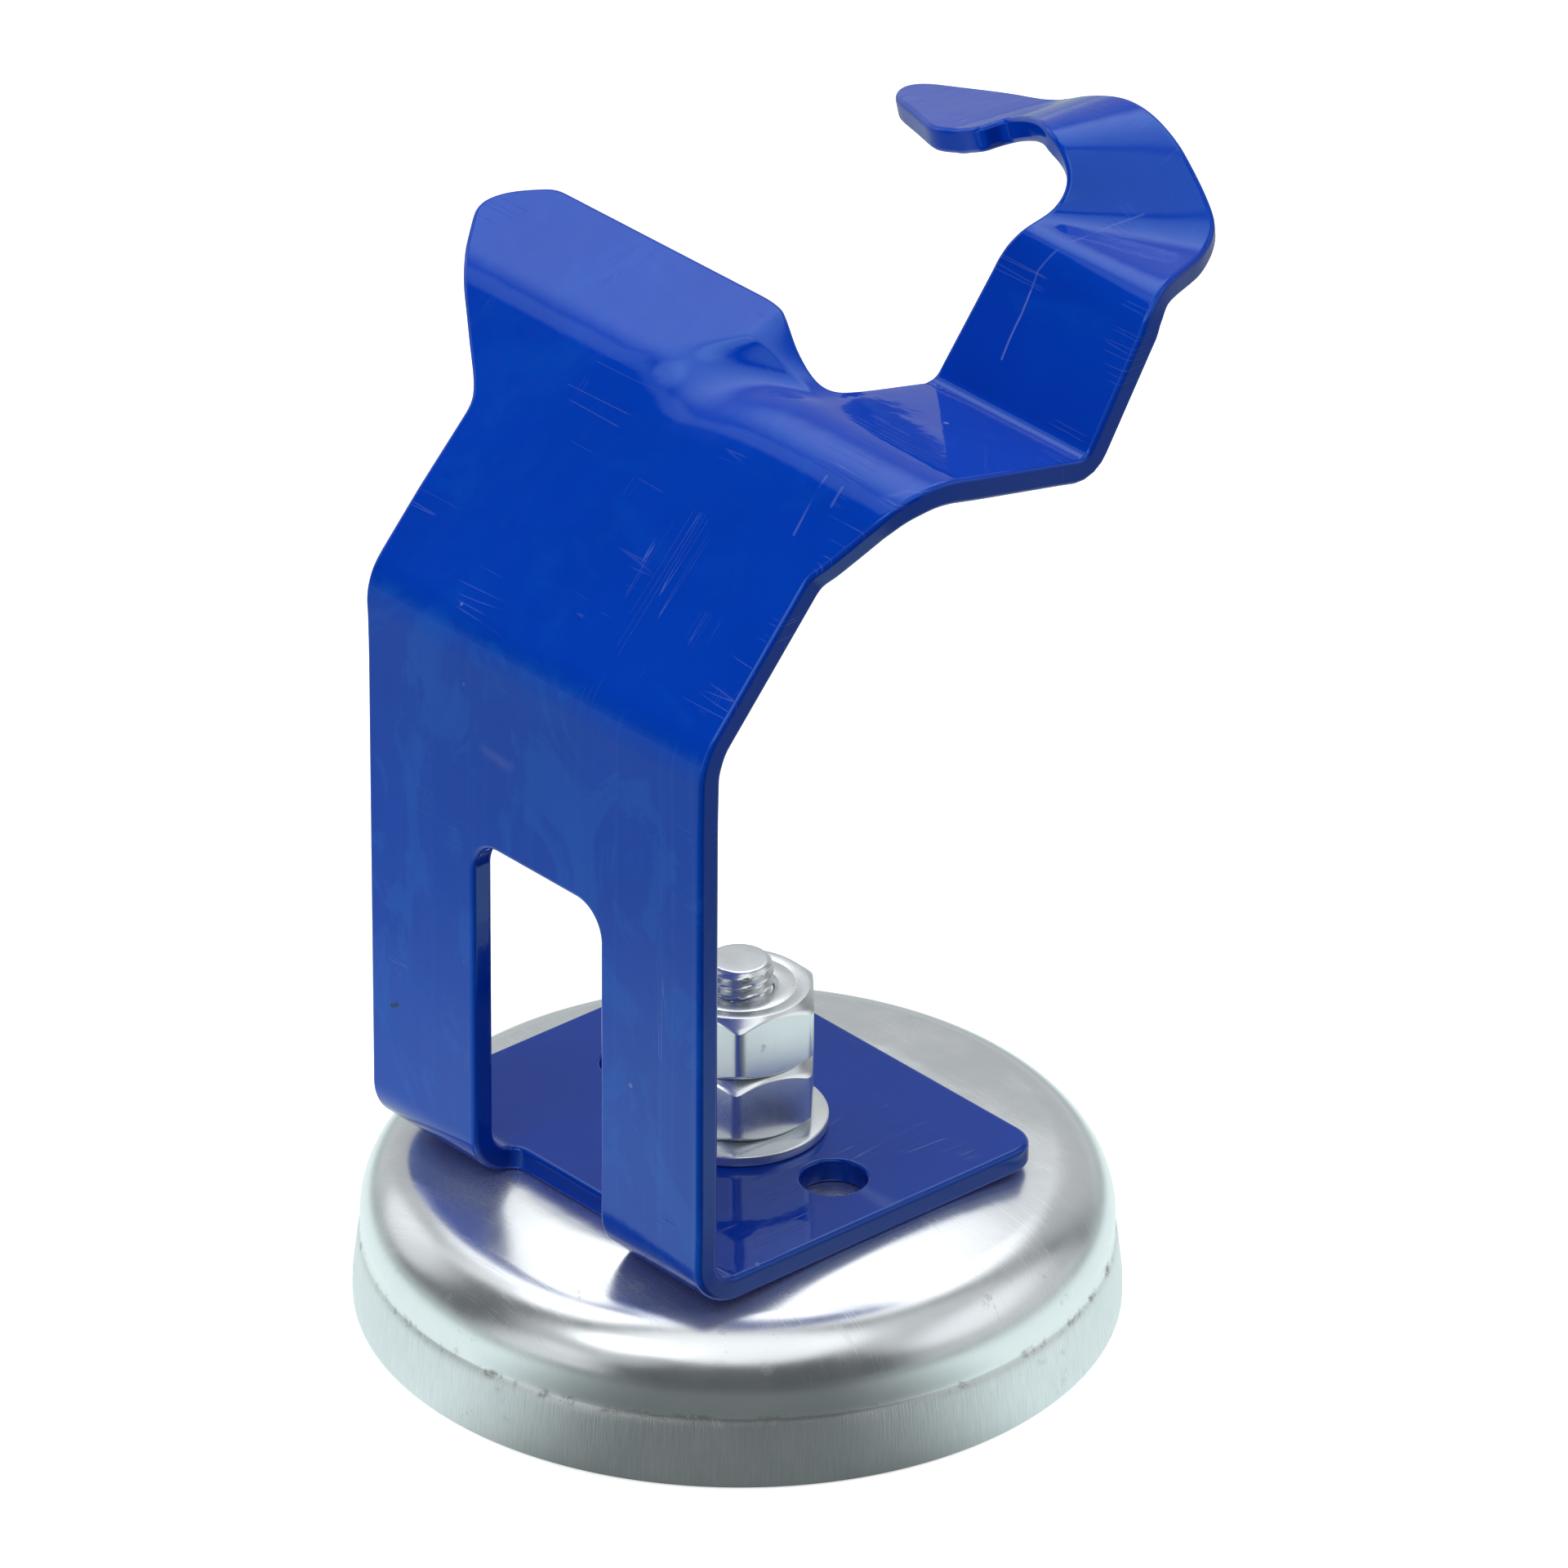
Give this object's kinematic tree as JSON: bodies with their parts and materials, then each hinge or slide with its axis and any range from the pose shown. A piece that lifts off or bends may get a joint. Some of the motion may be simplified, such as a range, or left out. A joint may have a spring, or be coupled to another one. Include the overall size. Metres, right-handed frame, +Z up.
{
  "type": "magnetic torch rest",
  "caption": "Folded steel rest with a cradle, raised lip and hook finger, held by a stud, washer and lock nuts to a round cup magnet.",
  "frame": {"origin": "on the axis of the round cup magnet, at the plane of the cup's rim where it meets the surface it holds to", "axes": "+Z up along the stud; +X from the upright wall towards the hook; Y along the fold lines, with the hook arm on the -Y side and the lip on the +Y side"},
  "size_m": [0.0984, 0.0933, 0.1367],
  "materials": {
    "blue_paint": "gloss powder coat",
    "zinc_cup": "bright zinc plate, brushed skirt",
    "zinc_hardware": "bright zinc plate",
    "ferrite": "ground ferrite",
    "resin": "cast filler",
    "bush": "moulded"
  },
  "bodies": {
    "magnet_base": {"magnet_cup": "zinc_cup", "ring_magnet": "ferrite", "magnet_resin": "resin", "centre_bush": "bush", "stud_bolt": "zinc_hardware"},
    "holder": {"bracket": "blue_paint"},
    "washer_carrier": {"flat_washer": "zinc_hardware"},
    "lower_nut_body": {"lower_nut": "zinc_hardware"},
    "upper_nut_body": {"upper_nut": "zinc_hardware"}
  },
  "joints": [
    {"name": "bracket_swivel", "type": "hinge", "parent": "magnet_base", "child": "holder", "pos_m": [0, 0, 0.021], "axis": [0, 0, 1], "continuous": true},
    {"name": "washer_lift", "type": "slide", "parent": "magnet_base", "child": "washer_carrier", "axis": [0, 0, 1], "range_m": [0, 0.01124]},
    {"name": "lower_nut_spin", "type": "hinge", "parent": "washer_carrier", "child": "lower_nut_body", "pos_m": [0, 0, 0.028], "axis": [0, 0, 1], "range_deg": [0, 3240]},
    {"name": "upper_nut_spin", "type": "hinge", "parent": "lower_nut_body", "child": "upper_nut_body", "pos_m": [0, 0, 0.036], "axis": [0, 0, 1], "continuous": true}
  ],
  "couplings": [
    {"joint": "lower_nut_spin", "follows": "washer_lift", "rad_per_m": 5026.5}
  ]
}
